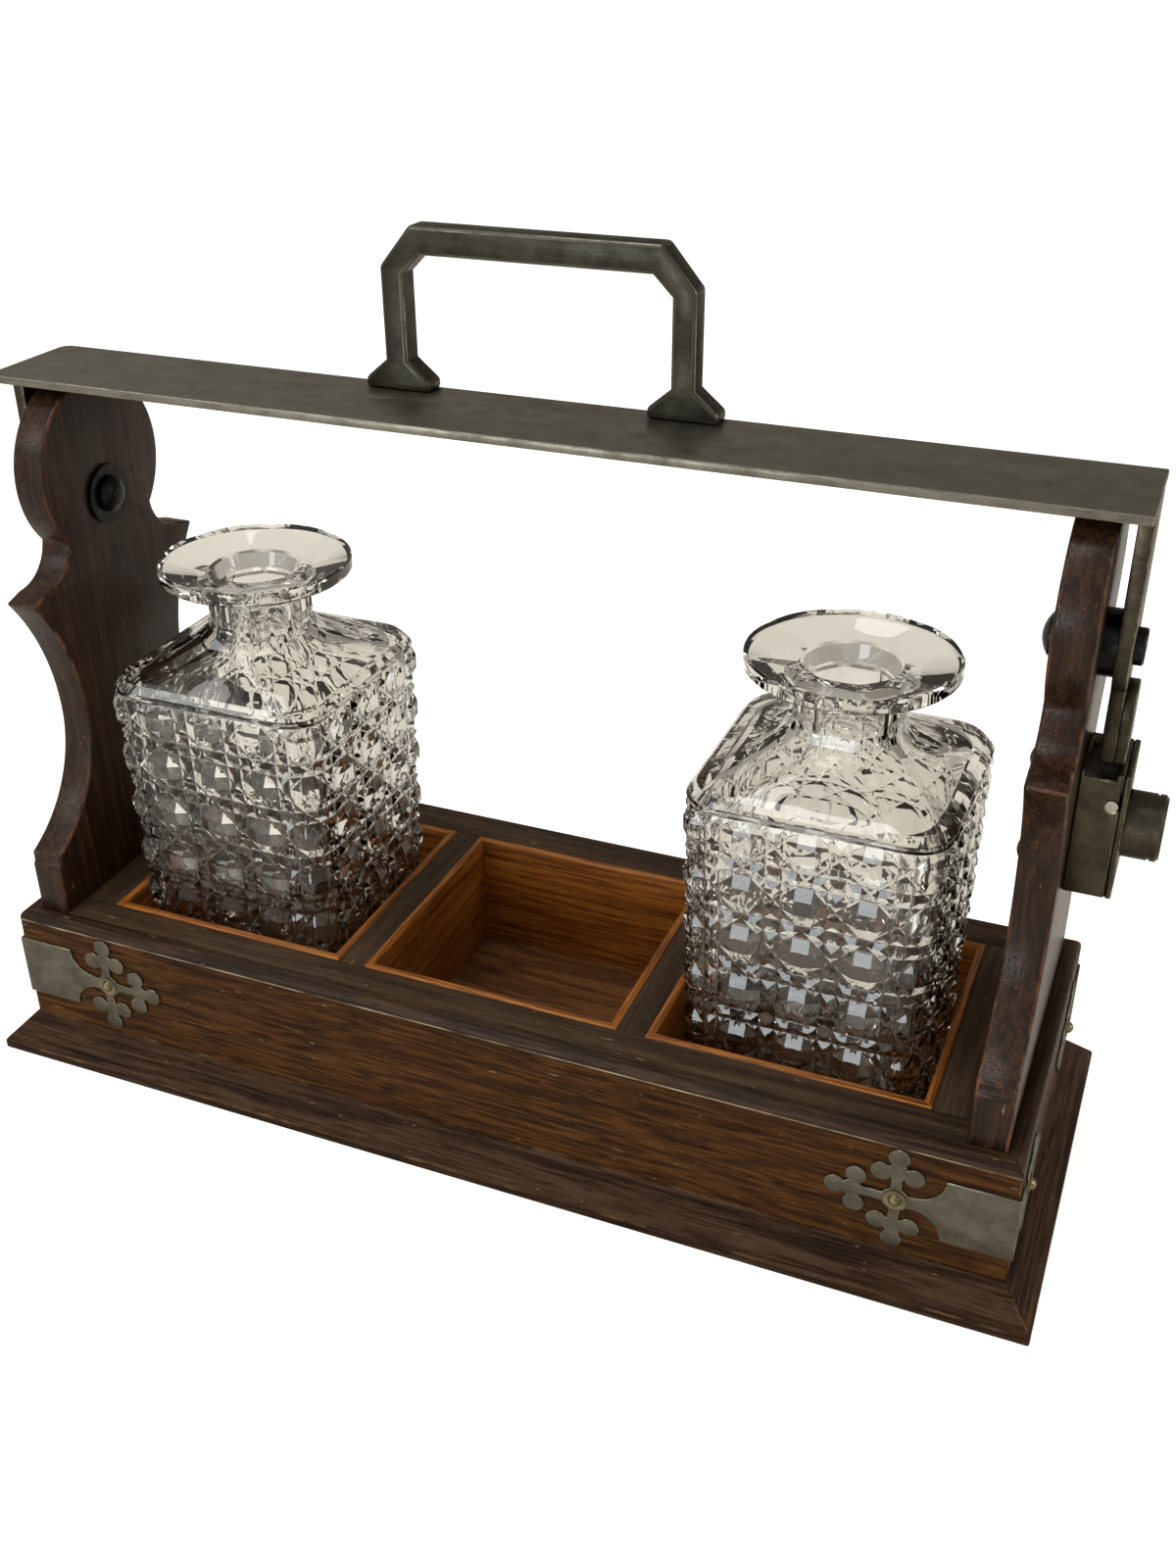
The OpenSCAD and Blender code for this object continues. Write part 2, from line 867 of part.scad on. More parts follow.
module strap(side_x, side_y)
{
    color(WORN_NICKEL)
        difference() {
            on_side(side_x)
                mirror([0, side_y > 0 ? 1 : 0, 0]) {
                    translate([strap_corner_x, -box_w / 2, strap_z])
                        rotate([90, 0, 0])
                            linear_extrude(strap_t) mirror([1, 0]) strap_leg(strap_long);
                    translate([box_l / 2, -strap_corner_y, strap_z])
                        rotate([90, 0, 90]) linear_extrude(strap_t) strap_leg(strap_short);
                }
            at_strap_pins()
                translate([0, 0, -strap_t - past]) cylinder(r = pin_r + run_gap, h = strap_t + 2 * past);
        }
}

// Domed pins on a small dished collar
module strap_pins()
{
    collar_r = 3.5;
    collar_t = 0.4;
    dome_r = 2.1;
    color(BRASS)
        at_strap_pins() {
            translate([0, 0, 0.2 - strap_t - pin_bite]) cylinder(r = pin_r, h = pin_bite + strap_t);
            cylinder(r = collar_r, h = collar_t);
            rotate_extrude()
                intersection() {
                    circle(dome_r);
                    square(dome_r);
                }
        }
}

// Decanters, in their own frame with the foot at Z 0

// Square column with rounded upright corners
module rounded_column(half, r, low, high)
{
    translate([0, 0, low])
        linear_extrude(high - low) {
            square([2 * half, 2 * (half - r)], center = true);
            square([2 * (half - r), 2 * half], center = true);
            for (x = [-1, 1], y = [-1, 1])
                translate([x * (half - r), y * (half - r)]) circle(r);
        }
}

// Solid with the given half section on all four sides: points are [half width, height]
module four_sided(points, half, r)
{
    low = points[0][1];
    high = points[len(points) - 1][1];
    section = concat(points, [for (i = [len(points) - 1:-1:0]) [-points[i][0], points[i][1]]]);
    intersection() {
        rounded_column(half, r, low, high);
        rotate([90, 0, 0]) linear_extrude(4 * half, center = true) polygon(section);
        rotate([90, 0, 90]) linear_extrude(4 * half, center = true) polygon(section);
    }
}

edge_bevel = 3.5;
lip_edge = 4.6;
lip_flare = 8;
lip_under = dec_h - lip_edge - lip_flare;
lip_soft = 0.5;
neck_flat_in = 1.5;
funnel_h = 3.4;
funnel_rim = 1.6;
mouth_flare = 2;
mouth_r = neck_bore_r + mouth_flare;
mouth_h = 5;
bore_start = 6;
foot_glass_t = glass_t + 1;
roof_tuck = 2;

module decanter()
{
    half = dec_w / 2;
    roof_in = neck_r - roof_tuck;
    roof_slope = (dec_neck_h - dec_shoulder_h) / (half - roof_in);
    cavity_half = half - glass_t;
    cavity_corner_r = dec_corner_r - glass_t + roof_tuck;
    cavity_top = dec_neck_h - glass_t;
    color("#dfe6e2", 0.4)
        difference() {
            union() {
                four_sided([[half - dec_taper, 0], [half, dec_shoulder_h - edge_bevel],
                            [half - edge_bevel, dec_shoulder_h + edge_bevel * roof_slope],
                            [roof_in, dec_neck_h]], half, dec_corner_r);
                // Eight-sided neck
                rotate([0, 0, 22.5])
                    translate([0, 0, dec_neck_h - glass_t])
                        cylinder(r = neck_r, h = lip_under - dec_neck_h + glass_t + past, $fn = 8);
                // Wide lip
                rotate_extrude()
                    polygon([[0, lip_under - past], [neck_r - neck_flat_in, lip_under - past],
                             [neck_r - neck_flat_in / 2, lip_under], [lip_r, dec_h - lip_edge],
                             [lip_r, dec_h - lip_soft], [lip_r - lip_soft, dec_h], [0, dec_h]]);
            }
            four_sided([[cavity_half - dec_taper, foot_glass_t], [cavity_half, dec_shoulder_h - glass_t],
                        [neck_bore_r - roof_tuck, cavity_top]], cavity_half, cavity_corner_r);
            // Bore, flared mouth and the shallow funnel in the lip
            rotate_extrude()
                polygon([[0, cavity_top - bore_start], [neck_bore_r, cavity_top - bore_start],
                         [neck_bore_r, dec_h - funnel_h - mouth_h], [mouth_r, dec_h - funnel_h],
                         [lip_r - funnel_rim, dec_h], [lip_r - funnel_rim, dec_h + past],
                         [0, dec_h + past]]);
        }
}

module standing_decanter(side)
{
    translate([side * (pitch + dec_shift), 0, plinth_h]) decanter();
}

plinth_board(FRONT);  // plinth_front
plinth_board(RIGHT);  // plinth_right
plinth_board(BACK);  // plinth_back
plinth_board(LEFT);  // plinth_left
floor_board();
wall(FRONT);  // wall_front
wall(RIGHT);  // wall_right
wall(BACK);  // wall_back
wall(LEFT);  // wall_left
deck_rail(true);  // deck_front_rail
deck_rail(false);  // deck_back_rail
deck_end(-1);  // deck_left_end
deck_end(1);  // deck_right_end
divider(-1);  // divider_left
divider(1);  // divider_right
liner_board(-1, FRONT);  // liner_left_front
liner_board(-1, RIGHT);  // liner_left_right
liner_board(-1, BACK);  // liner_left_back
liner_board(-1, LEFT);  // liner_left_left
liner_board(0, FRONT);  // liner_middle_front
liner_board(0, RIGHT);  // liner_middle_right
liner_board(0, BACK);  // liner_middle_back
liner_board(0, LEFT);  // liner_middle_left
liner_board(1, FRONT);  // liner_right_front
liner_board(1, RIGHT);  // liner_right_right
liner_board(1, BACK);  // liner_right_back
liner_board(1, LEFT);  // liner_right_left
upright(-1);  // upright_left
upright(1);  // upright_right
strap(-1, -1);  // strap_front_left
strap(1, -1);  // strap_front_right
strap(-1, 1);  // strap_back_left
strap(1, 1);  // strap_back_right
strap_pins();
carrying_bar();
left_arm();
right_arm();
hasp_block();
handle();
handle_screws();
pivot_bolts();
pivot_spacers();
pivot_washers();
pivot_nuts();
lock_case();
lock_cover();
lock_case_pin();
lock_button();
lock_plug();
lock_bolt();
lock_screws();
standing_decanter(-1);  // decanter_left
standing_decanter(1);  // decanter_right
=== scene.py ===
# %% [markdown]
# An antique tantalus: an oak box with two shaped uprights, a plated carrying bar that locks over
# the bottles, and two square cut-glass decanters. The joiner's, the plater's and the glass cutter's
# work are taken one after another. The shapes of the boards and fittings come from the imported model,
# which is loaded first and never moved.

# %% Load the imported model
import json
import math
from collections import namedtuple
from itertools import combinations

import bmesh
import bpy
from mathutils import Matrix, Vector
from mathutils.geometry import intersect_line_line

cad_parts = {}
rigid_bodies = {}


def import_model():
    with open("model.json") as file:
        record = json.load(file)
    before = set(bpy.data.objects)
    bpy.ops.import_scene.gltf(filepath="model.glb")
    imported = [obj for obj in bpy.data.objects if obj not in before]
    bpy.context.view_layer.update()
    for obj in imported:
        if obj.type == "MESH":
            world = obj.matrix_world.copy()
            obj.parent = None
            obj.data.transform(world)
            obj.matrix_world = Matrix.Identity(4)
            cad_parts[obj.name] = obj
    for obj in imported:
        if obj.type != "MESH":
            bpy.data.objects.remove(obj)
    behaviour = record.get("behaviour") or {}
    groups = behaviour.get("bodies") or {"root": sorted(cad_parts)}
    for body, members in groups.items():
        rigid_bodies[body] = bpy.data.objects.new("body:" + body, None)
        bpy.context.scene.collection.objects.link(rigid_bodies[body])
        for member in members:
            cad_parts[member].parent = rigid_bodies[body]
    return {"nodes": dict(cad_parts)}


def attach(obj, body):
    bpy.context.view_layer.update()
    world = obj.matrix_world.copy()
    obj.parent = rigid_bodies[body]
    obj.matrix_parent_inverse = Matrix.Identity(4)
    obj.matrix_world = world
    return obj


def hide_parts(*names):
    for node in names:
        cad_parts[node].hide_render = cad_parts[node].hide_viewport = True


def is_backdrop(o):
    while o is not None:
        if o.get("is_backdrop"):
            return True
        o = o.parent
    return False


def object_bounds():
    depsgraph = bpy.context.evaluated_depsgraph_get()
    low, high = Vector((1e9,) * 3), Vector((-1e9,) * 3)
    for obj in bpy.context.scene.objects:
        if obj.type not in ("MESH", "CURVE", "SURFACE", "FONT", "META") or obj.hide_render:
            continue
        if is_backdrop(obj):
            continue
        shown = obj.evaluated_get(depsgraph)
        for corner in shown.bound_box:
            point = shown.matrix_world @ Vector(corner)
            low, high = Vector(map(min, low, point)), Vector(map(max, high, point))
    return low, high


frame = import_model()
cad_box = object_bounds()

MM = 0.001
scene = bpy.context.scene
print("box of the packed model, mm:", [[round(c / MM, 1) for c in corner] for corner in cad_box])

# %% [markdown]
# The camera stands in front of the right-hand end, well above the bar, and looks down by about
# thirty degrees. It could be placed by eye. Its place and its lens were worked out from the edges of
# the plinth, the box and the bar instead, so pieces that are the right size fall on the right spot of
# the picture. The length of the lens comes out in pixels of the picture and is turned into the
# millimetres that a camera takes.

# %% Camera
YAW, PITCH, ROLL = (math.radians(angle) for angle in (22.499, -29.544, -0.367))
EYE = Vector((197.5, -432.8, 385.0)) * MM
LENS_PIXELS = 1642.05
PICTURE_HEIGHT = 1600
forward = Vector((-math.sin(YAW) * math.cos(PITCH), math.cos(YAW) * math.cos(PITCH), math.sin(PITCH)))
level = Vector((math.cos(YAW), math.sin(YAW), 0))
upward = level.cross(forward)
right = level * math.cos(ROLL) + upward * math.sin(ROLL)
above = upward * math.cos(ROLL) - level * math.sin(ROLL)

lens = bpy.data.cameras.new("camera")
lens.sensor_width = 36
lens.lens = LENS_PIXELS / PICTURE_HEIGHT * lens.sensor_width
lens.clip_start = 0.01
lens.clip_end = 60
camera = bpy.data.objects.new("camera", lens)
turned = Matrix((right, above, -forward)).transposed().to_4x4()
camera.matrix_world = Matrix.Translation(EYE) @ turned
scene.collection.objects.link(camera)
scene.camera = camera
print("lens, mm:", round(lens.lens, 2))

# %% [markdown]
# Every finish below is built from nodes, and every new piece from a mesh, so four small helpers come
# first. Colours are written as they look on a screen and turned into amounts of light by one of them.

# %% Helpers
def linear(hex_colour):
    """An sRGB hex colour as the linear colour that a shader takes."""
    parts = [int(hex_colour[i:i + 2], 16) / 255 for i in (1, 3, 5)]
    return [c / 12.92 if c <= 0.04045 else ((c + 0.055) / 1.055) ** 2.4 for c in parts] + [1]


def add(tree, kind, links=None, stops=(), **settings):
    """Adds a node with its settings. links gives each input a socket to follow or a value, and
    stops are a colour ramp's (place, hex colour) pairs."""
    made = tree.nodes.new(kind)
    for name, value in settings.items():
        setattr(made, name, value)
    for number, (position, colour) in enumerate(stops):
        if number > 1:
            made.color_ramp.elements.new(position)
        made.color_ramp.elements[number].position = position
        made.color_ramp.elements[number].color = linear(colour)
    for name, value in (links or {}).items():
        if isinstance(value, bpy.types.NodeSocket):
            tree.links.new(value, made.inputs[name])
        else:
            made.inputs[name].default_value = value
    return made


def new_material(name):
    """An empty material, the tree to build in, and its shader."""
    material = bpy.data.materials.new(name)
    material.use_nodes = True
    return material, material.node_tree, material.node_tree.nodes["Principled BSDF"]


def link_mesh(bm, name, materials):
    """Turns a finished mesh into an object at the origin."""
    mesh = bpy.data.meshes.new(name)
    bm.to_mesh(mesh)
    bm.free()
    for material in materials:
        mesh.materials.append(material)
    made = bpy.data.objects.new(name, mesh)
    scene.collection.objects.link(made)
    return made


print("a middle grey in light:", round(linear("#808080")[0], 3))

# %% [markdown]
# The stand is on a pale floor that has no edge in the picture. The camera sees it nearly white, but
# glass, metal and polish meet it as a warmer and dimmer tabletop, which keeps the stand as dark and
# rich as it is indoors. The light path tells the two kinds of ray apart.

# %% Floor
# Metres from the middle to each edge
FLOOR_REACH = 14
# Matt paint, put on with a roller: no gloss, and clouds of a third of a metre that hardly show
painted, tree, shader = new_material("matt_painted_floor")
place = add(tree, "ShaderNodeTexCoord").outputs["Object"]
cloudy = add(tree, "ShaderNodeTexNoise", {"Vector": place, "Scale": 3, "Detail": 4})
pale = add(tree, "ShaderNodeValToRGB", {"Fac": cloudy.outputs["Fac"]}, [(0.3, "#f1f0ee"), (0.7, "#f6f5f3")])
by_camera = add(tree, "ShaderNodeLightPath").outputs["Is Camera Ray"]
tabletop = add(tree, "ShaderNodeMix", {"Factor": by_camera, 6: linear("#ece7de"), 7: pale.outputs["Color"]},
               data_type="RGBA")
tree.links.new(tabletop.outputs[2], shader.inputs["Base Color"])
lift = add(tree, "ShaderNodeMath", {0: by_camera, 1: 0.6}, operation="MULTIPLY")
tree.links.new(lift.outputs[0], shader.inputs["Emission Strength"])
shader.inputs["Emission Color"].default_value = linear("#ffffff")
shader.inputs["Roughness"].default_value = 0.75
bm = bmesh.new()
bmesh.ops.create_grid(bm, x_segments=8, y_segments=8, size=FLOOR_REACH)
floor = link_mesh(bm, "floor", [painted])
floor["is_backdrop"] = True
print("floor, metres across:", 2 * FLOOR_REACH)

# %% [markdown]
# Cut glass has no colour of its own: it shows what stands round it. So the sky isn't even. It is
# brightest high up in front, and dim and warm elsewhere, which gives the facets something light and
# something dark to show. A picture of a room could do that too, but four tones in a ramp are enough,
# and they can be moved to where the glass needs them.

# %% Sky
world = bpy.data.worlds.new("soft_sky")
world.use_nodes = True
tree = world.node_tree
BRIGHT_WAY = Vector((-0.3, -0.62, 0.72)).normalized()
way = add(tree, "ShaderNodeTexCoord").outputs["Generated"]
toward = add(tree, "ShaderNodeVectorMath", {0: way, 1: BRIGHT_WAY}, operation="DOT_PRODUCT")
# 0 is right away from the bright part of the sky, and 1 is the bright part
nearness = add(tree, "ShaderNodeMath", {0: toward.outputs["Value"], 1: 0.5, 2: 0.5}, operation="MULTIPLY_ADD")
room = add(tree, "ShaderNodeValToRGB", {"Fac": nearness.outputs[0]},
           [(0.35, "#8a847a"), (0.6, "#a49f95"), (0.8, "#c2bfb9"), (1.0, "#e7e7e7")])
by_camera = add(tree, "ShaderNodeLightPath").outputs["Is Camera Ray"]
backdrop = add(tree, "ShaderNodeMix", {"Factor": by_camera, 6: room.outputs["Color"], 7: linear("#ffffff")},
               data_type="RGBA")
tree.links.new(backdrop.outputs[2], tree.nodes["Background"].inputs["Color"])
scene.world = world
scene.view_settings.view_transform = "Standard"
print("tones in the sky:", len(room.color_ramp.elements))

# %% [markdown]
# Four large lamps give soft shadows. The one that matters stands low in front like a pale blue
# window: the walls of the wheel's cuts mirror it, and that is what makes the crystal sparkle. The
# other three light the wood from the left, from above and from the right.

# %% Lamps
def lamp(name, place, size, power, aim=(0, 0, 0.1), colour="#ffffff"):
    """A soft rectangular lamp, size wide and high, that looks at aim."""
    data = bpy.data.lights.new(name, "AREA")
    data.shape = "RECTANGLE"
    data.size, data.size_y = size
    data.color = linear(colour)[:3]
    data.energy = power
    made = bpy.data.objects.new(name, data)
    made.location = place
    made.rotation_euler = (Vector(aim) - Vector(place)).to_track_quat("-Z", "Y").to_euler()
    scene.collection.objects.link(made)


lamp("low_window", (-0.36, -1.8, 0.33), (0.8, 0.5), 10, aim=(0, 0, 0.15), colour="#e0eaee")
lamp("high_window", (-1.2, -1.3, 1.3), (0.8, 0.8), 9)
lamp("ceiling_lamp", (-0.35, -0.2, 1.9), (0.9, 0.9), 12)
lamp("right_lamp", (1.7, 0.1, 0.8), (0.8, 0.8), 11)
print("lamps:", len(bpy.data.lights))

# %% [markdown]
# The whole stand is stained oak. Oak is open-pored: its vessels show as fine dark dashes along the
# grain, on top of slow, wavy bands from the yearly rings. One recipe makes every board: a solid
# pattern in millimetres is stretched along the board, so the end grain comes out right too, which a
# picture laid on the faces can't do. The finish is old French polish, a thin shellac film that has
# gone dull and has worn off the arrises.

# %% Oak
# How a pattern that runs along x is turned to run along each axis
GRAIN = {"x": (0, 0, 0), "y": (0, 0, math.pi / 2), "z": (0, math.pi / 2, 0)}
# How much the yearly bands and the fibres count. The shift brings the middle of their sum to 0.5
BAND_WEIGHT, FIBRE_WEIGHT, TONE_SHIFT = 1.1, 1.5, 0.52
# An open vessel is this dark beside the darkest line, and covers it by this much
PORE_TONE, PORE_SHADE = 0.35, 0.5
BARE_WOOD = "#9a8468"


def oak(name, grain, colours, yearly=(90, 9, 5), roughness=0.42, shine=0.3, wear="#000000", worn=0.0):
    """Oak with its grain along one axis. colours run from the dark lines to the light ones. yearly
    is the length and the width of the bands in mm, and how often they fold. worn tells how much of
    the stain is rubbed off to the colour of wear."""
    material, tree, shader = new_material(name)
    place = add(tree, "ShaderNodeTexCoord").outputs["Object"]
    millimetres = add(tree, "ShaderNodeMapping", {"Vector": place, "Scale": [1 / MM] * 3,
                                                  "Rotation": GRAIN[grain]}).outputs["Vector"]

    def streaks(length, width, detail=2.0, distortion=0.0):
        """Noise in streaks of about this length and width, in millimetres."""
        along = add(tree, "ShaderNodeMapping", {"Vector": millimetres,
                                                "Scale": (1 / length, 1 / width, 1 / width)})
        return add(tree, "ShaderNodeTexNoise", {"Vector": along.outputs["Vector"], "Scale": 1,
                                                "Detail": detail, "Distortion": distortion}).outputs["Fac"]

    # Yearly rings, cut lengthways: slow noise, folded several times into bands
    length, width, folds = yearly
    slow = streaks(length, width, 3, 0.3)
    many = add(tree, "ShaderNodeMath", {0: slow, 1: folds}, operation="MULTIPLY")
    bands = add(tree, "ShaderNodeMath", {0: many.outputs[0], 1: 0.5}, operation="PINGPONG")
    bands = add(tree, "ShaderNodeMath", {0: bands.outputs[0], 1: BAND_WEIGHT}, operation="MULTIPLY")
    # Fibres, and the open vessels among them. Real vessels are a third of a millimetre wide at most,
    # and these are a little coarser, so that they show
    fibres = streaks(24, 0.8, 4)
    vessels = add(tree, "ShaderNodeMapRange", {"Value": streaks(6, 0.42, 2), 1: 0.56, 2: 0.68, 3: 0, 4: 1})
    tone = add(tree, "ShaderNodeMath", {0: fibres, 1: FIBRE_WEIGHT, 2: bands.outputs[0]},
               operation="MULTIPLY_ADD")
    tone = add(tree, "ShaderNodeMath", {0: tone.outputs[0], 1: TONE_SHIFT}, operation="SUBTRACT")
    tones = list(zip((0.1, 0.5, 0.9), colours))
    stain = add(tree, "ShaderNodeValToRGB", {"Fac": tone.outputs[0]}, tones).outputs["Color"]
    in_pores = [c * PORE_TONE for c in linear(colours[0])[:3]] + [1]
    shade = add(tree, "ShaderNodeMath", {0: vessels.outputs[0], 1: PORE_SHADE}, operation="MULTIPLY")
    colour = add(tree, "ShaderNodeMix", {"Factor": shade.outputs[0], 6: stain, 7: in_pores},
                 data_type="RGBA").outputs[2]
    if worn:
        # Where hands and cloths have rubbed through the stain
        rubbed = add(tree, "ShaderNodeMapRange", {"Value": streaks(14, 5, 4), 1: 0.66 - worn * 0.3, 2: 0.72,
                                                  3: 0, 4: 0.9})
        colour = add(tree, "ShaderNodeMix", {"Factor": rubbed.outputs[0], 6: colour, 7: linear(wear)},
                     data_type="RGBA").outputs[2]
    # Nicks and knocks show the pale wood under the stain
    nicks = add(tree, "ShaderNodeMapRange", {"Value": streaks(7, 0.9, 2), 1: 0.735, 2: 0.76, 3: 0, 4: 0.6})
    colour = add(tree, "ShaderNodeMix", {"Factor": nicks.outputs[0], 6: colour, 7: linear(BARE_WOOD)},
                 data_type="RGBA").outputs[2]
    tree.links.new(colour, shader.inputs["Base Color"])
    shader.inputs["Specular IOR Level"].default_value = shine
    # The polish has sunk into the vessels, so they are duller and lie a little lower
    dullness = add(tree, "ShaderNodeMath", {0: vessels.outputs[0], 1: 0.25, 2: roughness},
                   operation="MULTIPLY_ADD")
    tree.links.new(dullness.outputs[0], shader.inputs["Roughness"])
    relief = add(tree, "ShaderNodeMath", {0: vessels.outputs[0], 1: -1.0, 2: fibres},
                 operation="MULTIPLY_ADD")
    bump = add(tree, "ShaderNodeBump", {"Height": relief.outputs[0], "Strength": 0.35, "Distance": 0.12 * MM})
    tree.links.new(bump.outputs["Normal"], shader.inputs["Normal"])
    return material


print("the grain can run along:", *GRAIN)

# %% [markdown]
# The fittings are nickel plate over brass. A hundred years have dulled the nickel to a brownish
# pewter with cloudy tarnish, and the plate is polished bright on the edges that hands rub. An even
# grey would look like new steel, so the metal gets clouds, specks and fine wiping scratches, and the
# same pattern makes the tarnished places duller than the clean ones.

# %% Plated metal
SPECKS_PER_MM = 1.6
DENTS_PER_MM = 0.6
# How much the specks and the scratches count beside the clouds
SPECK_WEIGHT, SCRATCH_WEIGHT = 0.35, 0.3
# A scratch from wiping is hair-thin. Here it is 14 mm long and 0.4 mm wide, so that it shows
SCRATCHES = (1 / 14, 2.6, 2.6)


def plated(name, clean, tarnish, roughness=0.36, cloud=9.0, pits=0.0, spread=(0.62, 0.98)):
    """Dull nickel plate: clean where it is rubbed, and tarnish in clouds of the given size in mm.
    spread tells where tarnish ends and clean metal starts, and pits is the depth of small dents."""
    material, tree, shader = new_material(name)
    place = add(tree, "ShaderNodeTexCoord").outputs["Object"]
    scaled = add(tree, "ShaderNodeMapping", {"Vector": place, "Scale": [1 / MM] * 3}).outputs["Vector"]
    clouds = add(tree, "ShaderNodeTexNoise", {"Vector": scaled, "Scale": 1 / cloud, "Detail": 6,
                                              "Roughness": 0.62})
    specks = add(tree, "ShaderNodeTexNoise", {"Vector": scaled, "Scale": SPECKS_PER_MM, "Detail": 3})
    wiped = add(tree, "ShaderNodeMapping", {"Vector": scaled, "Rotation": (0.2, 0.1, 0.35),
                                            "Scale": SCRATCHES})
    lines = add(tree, "ShaderNodeTexNoise", {"Vector": wiped.outputs["Vector"], "Scale": 1, "Detail": 3})
    both = add(tree, "ShaderNodeMath", {0: specks.outputs["Fac"], 1: SPECK_WEIGHT, 2: clouds.outputs["Fac"]},
               operation="MULTIPLY_ADD")
    streaky = add(tree, "ShaderNodeMath", {0: lines.outputs["Fac"], 1: SCRATCH_WEIGHT, 2: both.outputs[0]},
                  operation="MULTIPLY_ADD")
    colour = add(tree, "ShaderNodeValToRGB", {"Fac": streaky.outputs[0]},
                 [(spread[0], tarnish), (spread[1], clean)])
    tree.links.new(colour.outputs["Color"], shader.inputs["Base Color"])
    shader.inputs["Metallic"].default_value = 1
    dullness = add(tree, "ShaderNodeMapRange", {"Value": streaky.outputs[0], 1: 0.6, 2: 1.0,
                                                3: roughness + 0.16, 4: roughness - 0.06})
    tree.links.new(dullness.outputs[0], shader.inputs["Roughness"])
    height = lines.outputs["Fac"]
    if pits:
        dents = add(tree, "ShaderNodeTexVoronoi", {"Vector": scaled, "Scale": DENTS_PER_MM})
        height = add(tree, "ShaderNodeMath", {0: dents.outputs["Distance"], 1: pits, 2: height},
                     operation="MULTIPLY_ADD").outputs[0]
    bump = add(tree, "ShaderNodeBump", {"Height": height, "Strength": 0.25, "Distance": 0.05 * MM})
    tree.links.new(bump.outputs["Normal"], shader.inputs["Normal"])
    return material


print("a scratch, mm:", [round(1 / size, 1) for size in SCRATCHES[:2]])

# %% [markdown]
# A board straight from the model has dead sharp edges, which nothing made by hand keeps. Each board
# and each plate is copied, its loose triangles are merged back into whole faces, and its sharp edges
# are bevelled by some tenths of a millimetre. Only outward edges are eased: a bevel would fill up the
# inside corners, which stay crisp on the real thing. The bevel's faces get a second, worn material,
# so the rubbed arris is a place on the mesh and not a trick of the shader.

# %% Ease the edges of a piece
# Corners that are nearer than this, in millimetres, are one corner of the board
MERGE_LOOSE = 0.002
# Faces that meet at a smaller angle are shaded as one rounded surface
SMOOTH_BELOW = math.radians(32)


def whole(bm):
    """Everything in a mesh, for the operators that take it all."""
    return bm.verts[:] + bm.edges[:] + bm.faces[:]


def cut_across(bm, point, normal, dist=1e-4, **more):
    """Divides a mesh along the plane through a point, square to the normal."""
    bmesh.ops.bisect_plane(bm, geom=whole(bm), plane_co=point, plane_no=normal, dist=dist, **more)


def eased(node, materials, width=0.5, segments=2, sharp=28, body="base", bands=()):
    """A copy of a node with softened edges, which stands for the node. width is in mm, and sharp is
    the angle from which an edge is eased. bands are heights in mm, and the faces above each take
    the next material."""
    bm = bmesh.new()
    bm.from_mesh(frame["nodes"][node].data)
    bmesh.ops.remove_doubles(bm, verts=bm.verts, dist=MERGE_LOOSE * MM)
    bmesh.ops.dissolve_limit(bm, angle_limit=math.radians(0.4), verts=bm.verts, edges=bm.edges)
    for face in bm.faces:
        face.material_index = 0
    outward = [e for e in bm.edges if e.is_manifold and e.is_convex]
    edges = [e for e in outward if e.calc_face_angle(0) > math.radians(sharp)]
    made = bmesh.ops.bevel(bm, geom=edges, offset=width * MM, offset_type="OFFSET", affect="EDGES",
                           segments=segments, profile=0.5, material=-1, clamp_overlap=False)
    for face in made["faces"]:
        face.material_index = 1
    for number, height in enumerate(bands):
        cut_across(bm, (0, 0, height * MM), (0, 0, 1), dist=0.001 * MM)
        for face in bm.faces:
            if face.calc_center_median().z > height * MM:
                face.material_index = 2 + number
    for face in bm.faces:
        face.smooth = True
    piece = link_mesh(bm, node + "_eased", materials)
    piece.data.set_sharp_from_angle(angle=SMOOTH_BELOW)
    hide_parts(node)
    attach(piece, body)
    return piece


# %% [markdown]
# The joiner finished each part of the stand in its own way, and light and hands have changed them
# apart since. One colour for all of them would look like a toy, so each part has its own three tones
# of stain. The arrises have a second recipe, in which the stain is rubbed off in patches. A thin pale
# line runs along the foot of the moulding on the box: partly rubbed wear, partly a painted highlight.

# %% Stains, from the dark lines of the grain to the light ones
# Brown oak, planed and French polished: warm and streaky, with hardly a shine left
FRONT_STAIN = ("#25150a", "#3e250e", "#543416")
# Dark moulded oak, scraped to its shape and polished: nearly black, with a soft highlight along it
DARK_STAIN = ("#1c120b", "#302116", "#443121")
# Dark stained oak, scuffed by being carried about: flat and greyish brown
PLINTH_STAIN = ("#1a110a", "#342317", "#473425")
# Dark waxed oak, hard to reach between the bottles: dusty and grey, and never rubbed bright
DECK_STAIN = ("#261b12", "#38291c", "#493826")
# Golden oak, planed thin and only oiled: orange, since light never bleached it
GOLDEN_STAIN = ("#4f280b", "#864c14", "#a26422")
# The same oak for the floor of the box under the bottles, in a darker stain than the liners
BOTTOM_STAIN = ("#3a2210", "#66401f", "#7c5128")
# Red brown oak, sawn to shape and well polished: the darkest wood, and the only one that shines
UPRIGHT_STAIN = ("#170d06", "#2a180d", "#3d2515")
# A thin pale line at the foot of the moulding, partly rubbed wear and partly a painted highlight, from this
# height to this
PALE_WEAR_AND_HIGHLIGHT_LINE = (54.3, 54.8)
print("height of the rubbed line, mm:", *PALE_WEAR_AND_HIGHLIGHT_LINE)

# %% Board by board
ALONG = {"front": "x", "back": "x", "left": "y", "right": "y"}
stains = {}


def wood(kind, grain, colours, **more):
    """The material of one stain and one direction of the grain, made once."""
    key = (kind, grain)
    if key not in stains:
        stains[key] = oak(f"{kind}_grain_{grain}", grain, colours, **more)
    return stains[key]


